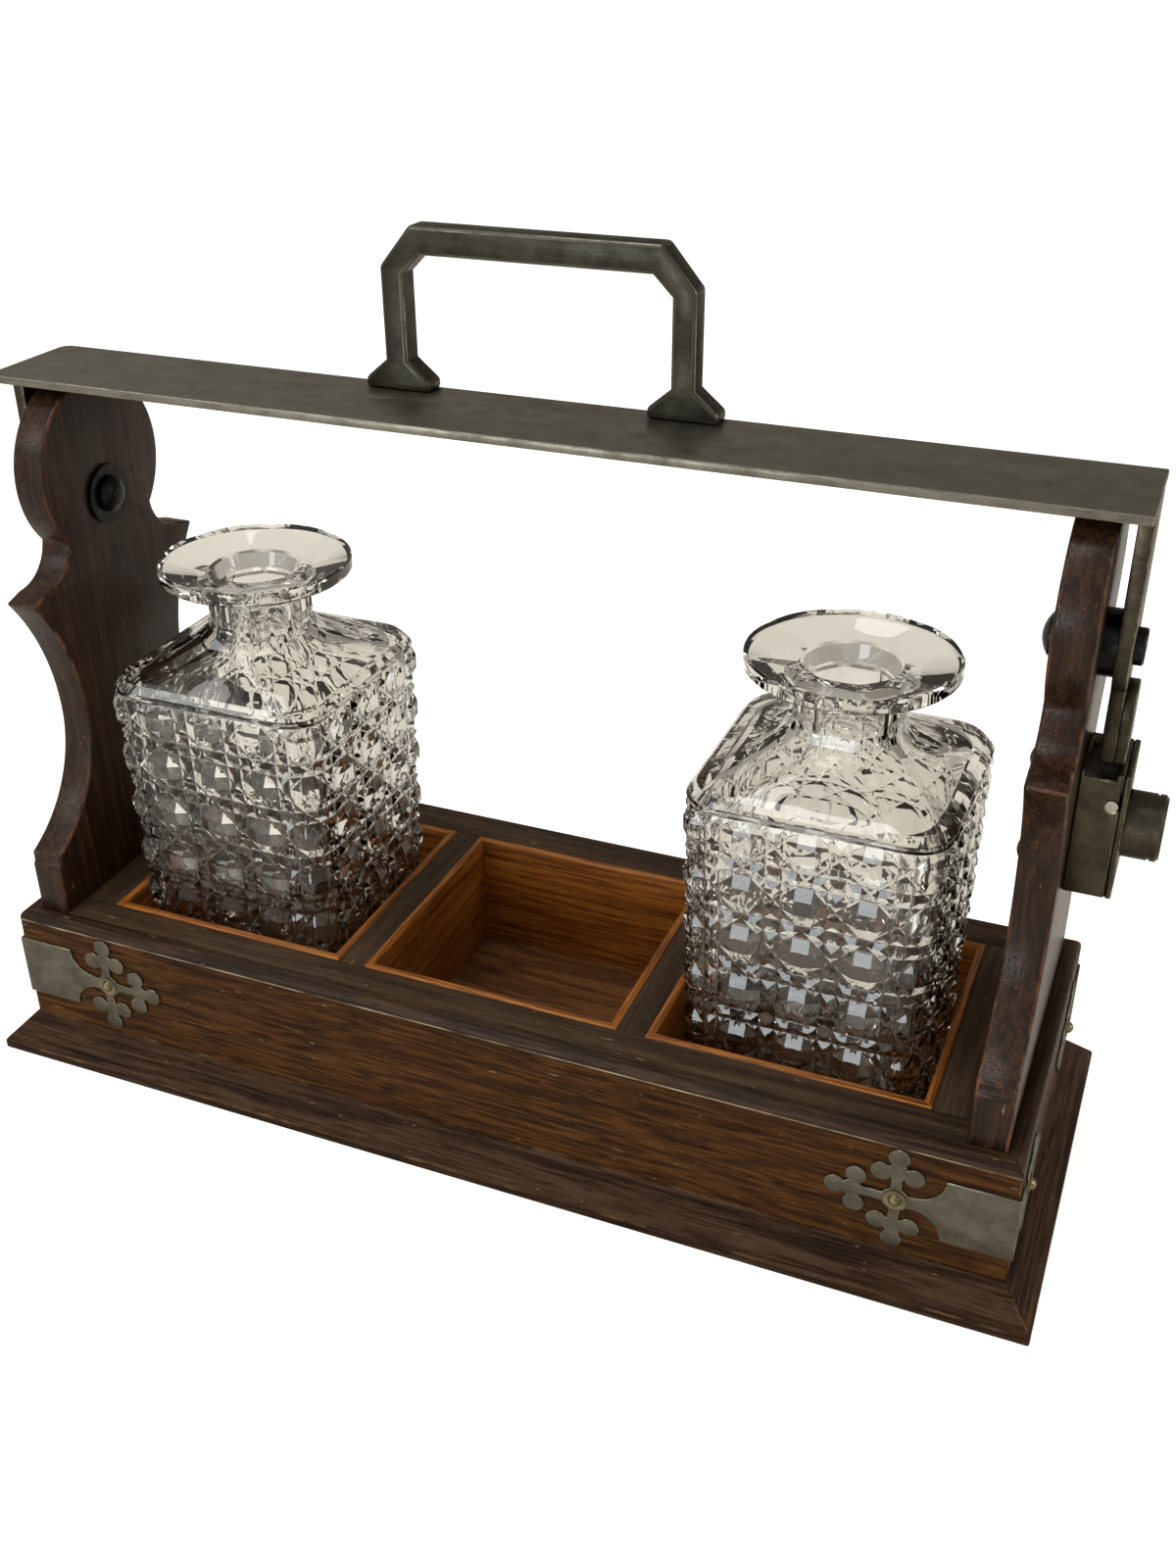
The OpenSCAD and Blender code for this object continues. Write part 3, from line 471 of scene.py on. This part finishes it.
for side, grain in ALONG.items():
    plinth = wood("dark_stained_oak", grain, PLINTH_STAIN, yearly=(120, 7, 5), roughness=0.5, shine=0.04)
    plinth_edge = wood("dark_stained_oak_rubbed", grain, PLINTH_STAIN, yearly=(120, 7, 5), shine=0.04,
                       wear="#6a5036", worn=0.5)
    eased("plinth_" + side, [plinth, plinth_edge], width=0.5)
    front = wood("brown_polished_oak", grain, FRONT_STAIN, yearly=(60, 6, 6), roughness=0.48, shine=0.06)
    front_edge = wood("brown_polished_oak_rubbed", grain, FRONT_STAIN, shine=0.06, wear="#a08060", worn=0.6)
    # The pale colour of the line at the moulding foot stands partly for rubbed wood and partly for a painted
    # highlight along the edge
    arris_wear_and_highlight = wood("worn_and_highlit_arris_oak", grain, DARK_STAIN, roughness=0.5, wear="#b8a684", worn=1.0)
    moulding = wood("dark_moulded_oak", grain, DARK_STAIN, yearly=(120, 7, 5), roughness=0.4, shine=0.12)
    eased("wall_" + side, [front, front_edge, arris_wear_and_highlight, moulding], width=0.45, bands=PALE_WEAR_AND_HIGHLIGHT_LINE)
    golden = wood("golden_oak", grain, GOLDEN_STAIN, yearly=(140, 5, 6), roughness=0.45)
    golden_edge = wood("golden_oak_rubbed", grain, GOLDEN_STAIN, roughness=0.45, wear="#a86c34", worn=0.9)
    for cell in ("left", "middle", "right"):
        eased(f"liner_{cell}_{side}", [golden, golden_edge], width=0.2)

deck_runs = {"deck_front_rail": "x", "deck_back_rail": "x", "deck_left_end": "y", "deck_right_end": "y",
             "divider_left": "y", "divider_right": "y"}
for node, grain in deck_runs.items():
    deck = wood("dark_waxed_oak", grain, DECK_STAIN, yearly=(120, 8, 3), roughness=0.55, shine=0.12)
    eased(node, [deck, deck], width=0.25)
bottom = wood("golden_floor_oak", "x", BOTTOM_STAIN, roughness=0.5)
eased("floor_board", [bottom, bottom], width=0.2)
upright = wood("red_brown_polished_oak", "z", UPRIGHT_STAIN, yearly=(120, 8, 5), roughness=0.3, shine=0.2)
upright_edge = wood("red_brown_polished_oak_rubbed", "z", UPRIGHT_STAIN, roughness=0.3, shine=0.2,
                    wear="#6e452c", worn=0.6)
for side in ("left", "right"):
    eased("upright_" + side, [upright, upright_edge], width=0.9, segments=3)
print("woods:", len(stains))

# %% [markdown]
# The plate has aged in as many ways as the wood. The flat bar is wiped often and is a pale pewter.
# The handle is bronzed by the grease of hands and has the roundest edges. The thin stamped straps are
# grey, with edges that catch the light, and the lock is the darkest, because its small parts are hard
# to clean. The larger fittings get eased edges. The small turned ones keep their own mesh from the
# model and only get their finish, since a bevel on them would not show.

# %% Plated fittings
# Nickel plate on rolled brass, wiped with a cloth: dull pewter, with soft clouds of tarnish
dull = plated("dull_nickel_plate", "#827e72", "#605c52")
dull_edge = plated("rubbed_nickel_plate", "#918d7f", "#5c594f", roughness=0.36, cloud=14)
# The same plate under years of handling: a brown bloom, greasy rather than bright
bronzed = plated("bronzed_nickel_plate", "#423f37", "#2e2c27", roughness=0.4)
bronzed_edge = plated("rubbed_bronzed_plate", "#5e5a4f", "#423f37", roughness=0.32, cloud=14)
# Thin stamped plate: mottled grey, with small bright patches where a cloth caught its edges
grey = plated("grey_nickel_plate", "#6a655a", "#4e493c", roughness=0.42)
grey_edge = plated("rubbed_grey_nickel_plate", "#8d897c", "#5d5a50", roughness=0.36, cloud=2.5,
                   spread=(0.75, 1.0))
# Cast brass, filed and plated: dark and finely pitted, with yellowish edges
lock_metal = plated("lock_nickel_plate", "#4d473a", "#373228", pits=0.4)
lock_edge = plated("rubbed_lock_plate", "#7d745f", "#433e32", roughness=0.34, cloud=5, spread=(0.75, 1.0))
# A drawn nickel pin, cut and filed flush: one pale dot on the dark case
case_pin = plated("bright_nickel_pin", "#b3afa2", "#908c7f", roughness=0.35)
# Brass pins that were never plated: a dull yellow that stands out on the grey straps
brass = plated("dull_brass", "#8b8062", "#5c543f", roughness=0.36)
# Oil-blackened steel, turned: nearly black, with a sharp highlight
steel = plated("black_steel", "#2c2b2b", "#191919", roughness=0.3)

eased("carrying_bar", [dull, dull_edge], width=0.45, body="carrying_frame")
for node in ("left_arm", "right_arm", "hasp_block"):
    eased(node, [lock_metal, lock_edge], width=0.45, body="carrying_frame")
eased("handle", [bronzed, bronzed_edge], width=1.1, body="carrying_frame")
for side in ("front_left", "front_right", "back_left", "back_right"):
    eased("strap_" + side, [grey, grey_edge], width=0.25, sharp=50)
for node in ("lock_case", "lock_cover"):
    eased(node, [lock_metal, lock_edge], width=0.6)

finishes = {"strap_pins": brass, "lock_case_pin": case_pin, "lock_button": lock_metal, "lock_plug": lock_edge,
            "lock_bolt": steel, "lock_screws": lock_metal, "handle_screws": bronzed, "pivot_bolts": steel,
            "pivot_spacers": steel, "pivot_washers": steel, "pivot_nuts": steel}
for node, finish in finishes.items():
    frame["nodes"][node].material_slots[0].material = finish

# %% [markdown]
# Each decanter is blown lead crystal, cut on a wheel. The body carries cane cutting: pairs of wide
# V-shaped grooves run round it and up it, steeper diagonals cross between them, and what is left of
# the skin between the cuts stands as rows of little pyramids and eight-sided buttons. A displacement
# map could fake that, but glass shows every facet by the way it bends light, so the facets have to be
# real. A quarter of one cell is marked out on a flat sheet, sunk and mirrored. The decanter is worked
# in millimetres until it is finished.

# %% The wheel's cuts in one cell
HALF_FOOT, HALF_TOP, CORNER = 40.0, 42.3, 14.0
STRAIGHT = 2 * (HALF_TOP - CORNER)
SIDE = STRAIGHT + CORNER * math.pi / 2
CELLS, ROWS = 16, 7
CELL_W = 4 * SIDE / CELLS
CELL_H = 18.5
# Half the distance between the two grooves of a pair, for those that run up and those that run round
PAIR_X, PAIR_Y = 2.6, 2.4
# What counts as one point, in millimetres, and as one flat facet
MERGE = 0.01
SAME_PLANE = math.radians(0.5)

# Each cut has a point, the normal of its line, its depth, the slope of its walls, and half the
# width of its bottom, which the wheel's worn edge leaves flat
Cut = namedtuple("Cut", "start normal depth slope flat")
upright_cut = Cut(Vector((CELL_W / 2 - PAIR_X, 0, 0)), Vector((1, 0, 0)), 1.95, 0.44, 0.1)
level_cut = Cut(Vector((0, CELL_H / 2 - PAIR_Y, 0)), Vector((0, 1, 0)), 1.95, 0.44, 0.1)
slant_cut = Cut(Vector((CELL_W / 2, 0, 0)), Vector((CELL_H, CELL_W, 0)).normalized(), 2.05, 0.68, 0.34)
cuts = (upright_cut, level_cut, slant_cut)


def sunk(point):
    """How deep the deepest of the cuts is at a point of the sheet."""
    return max([0.0] + [cut.depth - cut.slope * max(cut.flat, abs(cut.normal.dot(point - cut.start)))
                        for cut in cuts])


bm = bmesh.new()
bmesh.ops.create_grid(bm, x_segments=1, y_segments=1, size=1)
bmesh.ops.scale(bm, vec=(CELL_W / 4, CELL_H / 4, 1), verts=bm.verts)
bmesh.ops.translate(bm, vec=(CELL_W / 4, CELL_H / 4, 0), verts=bm.verts)
for cut in cuts:
    # The walls end at the skin, at the flat bottom, and at the flat bottoms of the other cuts
    ends = {cut.depth / cut.slope}
    for other in cuts:
        ends.add(max(cut.flat, (cut.depth - other.depth + other.slope * other.flat) / cut.slope))
    for shift in sorted(ends):
        cut_across(bm, cut.start + cut.normal * shift, cut.normal)
        cut_across(bm, cut.start - cut.normal * shift, cut.normal)
for first, second in combinations(cuts, 2):
    # Two walls meet where they are equally deep, along lines near the crossing
    along = [Vector((-cut.normal.y, cut.normal.x, 0)) for cut in (first, second)]
    crossing = intersect_line_line(first.start, first.start + along[0],
                                   second.start, second.start + along[1])[0]
    for sign, other_sign in ((1, 1), (1, -1), (-1, 1), (-1, -1)):
        steepest = first.normal * first.slope * sign - second.normal * second.slope * other_sign
        shift = steepest * (first.depth - second.depth) / steepest.dot(steepest)
        cut_across(bm, crossing + shift, steepest)
for vert in bm.verts:
    vert.co.z = -sunk(vert.co.copy())
bmesh.ops.dissolve_limit(bm, angle_limit=SAME_PLANE, verts=bm.verts, edges=bm.edges)
for axis in "XY":
    bmesh.ops.mirror(bm, geom=whole(bm), matrix=Matrix.Identity(4), merge_dist=MERGE, axis=axis)
bmesh.ops.recalc_face_normals(bm, faces=bm.faces)
if sum(face.normal.z for face in bm.faces) < 0:
    bmesh.ops.reverse_faces(bm, faces=bm.faces)
bmesh.ops.dissolve_limit(bm, angle_limit=SAME_PLANE, verts=bm.verts, edges=bm.edges)
print("facets in one cell:", len(bm.faces))

# %% [markdown]
# The cells are set side by side into a sheet that is as long as the way round the body. The top and
# the bottom row end in the middle of a level groove, as the cutter leaves them. The sheet could be
# bent by a modifier, but a formula for a square with rounded corners puts each vertex exactly where
# it belongs, and lets the body widen a little upwards, as a blown one does. A layer on the vertices
# remembers how far round each one is, for the rings that follow.

# %% The cut sheet
# Height of the middle of the lowest row, and divisions in each rounded corner
FIRST_ROW_Z = 10.4
CORNER_STEPS = 6


def repeated(bm, times, step_x, step_y):
    """Lays copies of the whole sheet beside it, each one step further on."""
    first = whole(bm)
    for number in range(1, times):
        copy = bmesh.ops.duplicate(bm, geom=first)
        verts = [g for g in copy["geom"] if isinstance(g, bmesh.types.BMVert)]
        bmesh.ops.translate(bm, vec=(number * step_x, number * step_y, 0), verts=verts)


repeated(bm, CELLS, CELL_W, 0)
repeated(bm, ROWS, 0, CELL_H)
bmesh.ops.remove_doubles(bm, verts=bm.verts, dist=MERGE)
LOW_LINE = -level_cut.start.y
HIGH_LINE = (ROWS - 1) * CELL_H + level_cut.start.y
cut_across(bm, (0, LOW_LINE, 0), (0, -1, 0), clear_outer=True)
cut_across(bm, (0, HIGH_LINE, 0), (0, 1, 0), clear_outer=True)
bmesh.ops.translate(bm, vec=(0, FIRST_ROW_Z, 0), verts=bm.verts)
# Upright divisions let the facets follow the rounded corners
for corner in range(4):
    for step in range(CORNER_STEPS + 1):
        place = corner * SIDE + STRAIGHT / 2 + step / CORNER_STEPS * (SIDE - STRAIGHT)
        cut_across(bm, (place, 0, 0), (1, 0, 0))
around = bm.verts.layers.float.new("around")
for vert in bm.verts:
    vert[around] = vert.co.x
print("sheet, mm:", round(4 * SIDE, 1), "by", round(HIGH_LINE - LOW_LINE, 1))

# %% Wrapped round the body
TOP_OF_SIDE = 128.0


def rounded_square(u, half, corner):
    """The point and the outward direction at u round a square with rounded corners."""
    side, run = divmod(u + STRAIGHT / 2, SIDE)
    if run <= STRAIGHT:
        point = Vector(((2 * run / STRAIGHT - 1) * (half - corner), -half, 0))
        outward = Vector((0, -1, 0))
    else:
        angle = (run - STRAIGHT) / (SIDE - STRAIGHT) * math.pi / 2
        outward = Vector((math.sin(angle), -math.cos(angle), 0))
        point = Vector((half - corner, corner - half, 0)) + outward * corner
    turn = Matrix.Rotation(side * math.pi / 2, 3, "Z")
    return turn @ point, turn @ outward


for vert in bm.verts:
    half = HALF_FOOT + (HALF_TOP - HALF_FOOT) * vert.co.y / TOP_OF_SIDE
    point, outward = rounded_square(vert.co.x, half, CORNER)
    vert.co = point + outward * vert.co.z + Vector((0, 0, vert.co.y))
bmesh.ops.remove_doubles(bm, verts=bm.verts, dist=MERGE)
print("faces in the cut body:", len(bm.faces))

# %% [markdown]
# Above the cutting the shoulder sweeps up in eight hollow panels to an eight-sided neck, and the lip
# spreads into a wide disc with a panelled funnel. All of that could be turned as a separate piece, but
# it would leave a seam inside the glass. So the top loop of the sheet is carried upwards, ring by
# ring, then back down inside as the smooth blown cavity, and the glass is one closed skin with a real
# inside. The bottom loop is carried inwards under the foot, round a ground hollow.

# %% Rings of the glass
def eight_sided(u, apothem):
    """The point at u round an octagon whose flats match the faces and the corners of the body."""
    side, run = divmod(u + STRAIGHT / 2, SIDE)
    edge = apothem * math.tan(math.pi / 8)
    if run <= STRAIGHT:
        point = Vector(((2 * run / STRAIGHT - 1) * edge, -apothem, 0))
    else:
        part = (run - STRAIGHT) / (SIDE - STRAIGHT)
        point = Vector((edge, -apothem, 0)).lerp(Vector((apothem, -edge, 0)), part)
    return Matrix.Rotation(side * math.pi / 2, 3, "Z") @ point


def ring(u, square=None, octagon=None, circle=None, mix=0.0, z=0.0):
    """A point of a ring between two sections: mix is 0 for the first and 1 for the second."""
    sections = []
    if square:
        sections.append(rounded_square(u, *square)[0])
    if octagon:
        sections.append(eight_sided(u, octagon))
    if circle:
        sections.append(eight_sided(u, 1).normalized() * circle)
    point = sections[0].lerp(sections[-1], mix)
    point.z = z
    return point


def carry(bm, loop, places):
    """Extrudes a loop of edges into one new ring and moves each new vertex to its place."""
    made = bmesh.ops.extrude_edge_only(bm, edges=loop)
    verts = [g for g in made["geom"] if isinstance(g, bmesh.types.BMVert)]
    for vert in verts:
        vert.co = places(vert[around])
    return [g for g in made["geom"] if isinstance(g, bmesh.types.BMEdge) and all(v in verts for v in g.verts)]


MID_HEIGHT = 60.0
open_edges = [e for e in bm.edges if e.is_boundary]
top_loop = [e for e in open_edges if e.verts[0].co.z > MID_HEIGHT]
foot_loop = [e for e in open_edges if e.verts[0].co.z < MID_HEIGHT]
print("edges in the top loop and the foot loop:", len(top_loop), len(foot_loop))

# %% Shoulder, neck and lip
# From the middle out, in millimetres, the neck's to the middle of a flat
NECK, MOUTH, LIP = 16.63, 15.0, 32.7
TOP_Z = 169.2
FUNNEL_SLOPE = 0.17
# The small step above the cutting, the hollow sweep of the shoulder, then the neck and the lip
rings = [dict(square=(41.3, 14.0), z=129.6), dict(square=(40.5, 13.7), z=130.1),
         dict(square=(40.6, 13.6), z=130.6), dict(square=(39.8, 13.2), z=131.8),
         dict(square=(38.6, 12.6), z=133.1)]
shoulder = [(36.6, 134.2, 0.1), (33, 135.6, 0.2), (29, 137.2, 0.4), (25.0, 139.2, 0.6), (20.6, 142.0, 0.9),
            (17.6, 145.2, 1.0), (NECK, 148.6, 1.0), (NECK, 152.0, 1.0)]
for half, z, mix in shoulder:
    rings.append(dict(square=(half, min(CORNER, half * 0.33)), octagon=half, mix=mix, z=z))
rings += [dict(octagon=NECK, z=156.7), dict(octagon=NECK + 0.8, circle=NECK + 1.4, mix=0.3, z=157.7),
          dict(octagon=26, circle=26.6, mix=0.8, z=161.5), dict(circle=LIP - 0.8, z=164.2),
          dict(circle=LIP, z=165.0)]


def funnel(u, apothem, z, round_to):
    """A ring where a cylinder cuts the eight sloping flats of the funnel."""
    point = eight_sided(u, apothem)
    flat = point.length / apothem
    point = point.normalized() * round_to
    point.z = z - FUNNEL_SLOPE * round_to * (1 - 1 / flat)
    return point


loop = top_loop
for section in rings:
    loop = carry(bm, loop, lambda u: ring(u, **section))
loop = carry(bm, loop, lambda u: funnel(u, LIP, TOP_Z - 0.5, LIP))
loop = carry(bm, loop, lambda u: funnel(u, LIP - 0.5, TOP_Z, LIP - 0.5))
loop = carry(bm, loop, lambda u: funnel(u, LIP - 2.2, TOP_Z - 0.6, LIP - 2.2))
print("height of the decanter, mm:", TOP_Z)

# %% Cavity and foot
BORE = 13.0
inside = [dict(octagon=MOUTH, circle=MOUTH + 0.5, mix=0.6, z=TOP_Z - 3.2), dict(circle=MOUTH - 0.4, z=165.2),
          dict(circle=BORE + 0.9, z=163.0), dict(circle=BORE, z=160.2), dict(circle=BORE, z=152),
          dict(circle=BORE, z=145), dict(circle=14.5, z=141.5), dict(circle=20, z=136.5),
          dict(circle=27, square=(27, 9), mix=0.5, z=131.8), dict(square=(33, 10), z=127.0),
          dict(square=(35.6, 9.5), z=122.0), dict(square=(35.9, 9.5), z=112), dict(square=(34.2, 9.5), z=20),
          dict(square=(33.0, 9.5), z=11.5), dict(square=(30.0, 9.5), z=8.4), dict(square=(24.0, 8), z=7.2)]
for section in inside:
    loop = carry(bm, loop, lambda u: ring(u, **section))
bmesh.ops.contextual_create(bm, geom=loop)
below = [dict(square=(39.6, 13.6), z=1.0), dict(square=(38.6, 13), z=0.0), dict(square=(33, 12), z=0.0),
         dict(square=(29, 11), z=0.9), dict(square=(15, 6), z=1.5)]
loop = foot_loop
for section in below:
    loop = carry(bm, loop, lambda u: ring(u, **section))
bmesh.ops.contextual_create(bm, geom=loop)
bmesh.ops.recalc_face_normals(bm, faces=bm.faces)
print("faces in a decanter:", len(bm.faces), "open edges:", sum(not e.is_manifold for e in bm.edges))

# %% [markdown]
# Lead crystal is heavier and brighter than window glass: it bends light more, at an index of about
# 1.545. Old crystal is not quite white, and a thick edge has a faint warm grey cast. A lamp's light
# would be lost in the glass, because it only gets through by the bent path. Caustics could find that
# path, but slowly and with noise, so the rays that look for lamps are let straight through and lose
# about half of their light on the way.

# %% Lead crystal
# Blown, cut on a stone wheel and polished: clear, mirror-smooth facets with a bright edge to each
crystal, tree, shader = new_material("lead_crystal")
shader.inputs["Transmission Weight"].default_value = 1
shader.inputs["IOR"].default_value = 1.545
shader.inputs["Roughness"].default_value = 0.0
shader.inputs["Base Color"].default_value = linear("#f8f7f3")
clear = add(tree, "ShaderNodeBsdfTransparent", {"Color": linear("#c0bcb4")})
let_through = add(tree, "ShaderNodeMixShader", {0: add(tree, "ShaderNodeLightPath").outputs["Is Shadow Ray"],
                                                1: shader.outputs["BSDF"], 2: clear.outputs["BSDF"]})
tree.links.new(let_through.outputs[0], tree.nodes["Material Output"].inputs["Surface"])
print("index of the crystal:", round(shader.inputs["IOR"].default_value, 3))

# %% The two decanters in their compartments
# Where each foot stands, in millimetres
SEAT_X, SEAT_Z = 104, 13.6
# Facets that meet at a larger angle keep a hard edge, and the blown inside stays smooth
FACET_ANGLE = math.radians(14)
bmesh.ops.scale(bm, vec=(MM, MM, MM), verts=bm.verts)
for side, x in (("left", -SEAT_X), ("right", SEAT_X)):
    copy = bm.copy()
    bmesh.ops.translate(copy, vec=(x * MM, 0, SEAT_Z * MM), verts=copy.verts)
    for face in copy.faces:
        face.smooth = True
    decanter = link_mesh(copy, f"decanter_{side}_cut", [crystal])
    decanter.data.set_sharp_from_angle(angle=FACET_ANGLE)
    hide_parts("decanter_" + side)
    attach(decanter, "decanter_" + side)
bm.free()

# %% [markdown]
# At the end the whole is measured again. The dressed object should fill the same box as the packed
# model, because easing takes off edges and not faces, and the cutting stays inside the solid glass.

# %% Sizes, and the end
new_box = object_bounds()
growth = [round((b - a) / MM, 2) for low, new in zip(cad_box, new_box) for a, b in zip(low, new)]
print("grown by, mm:", growth)
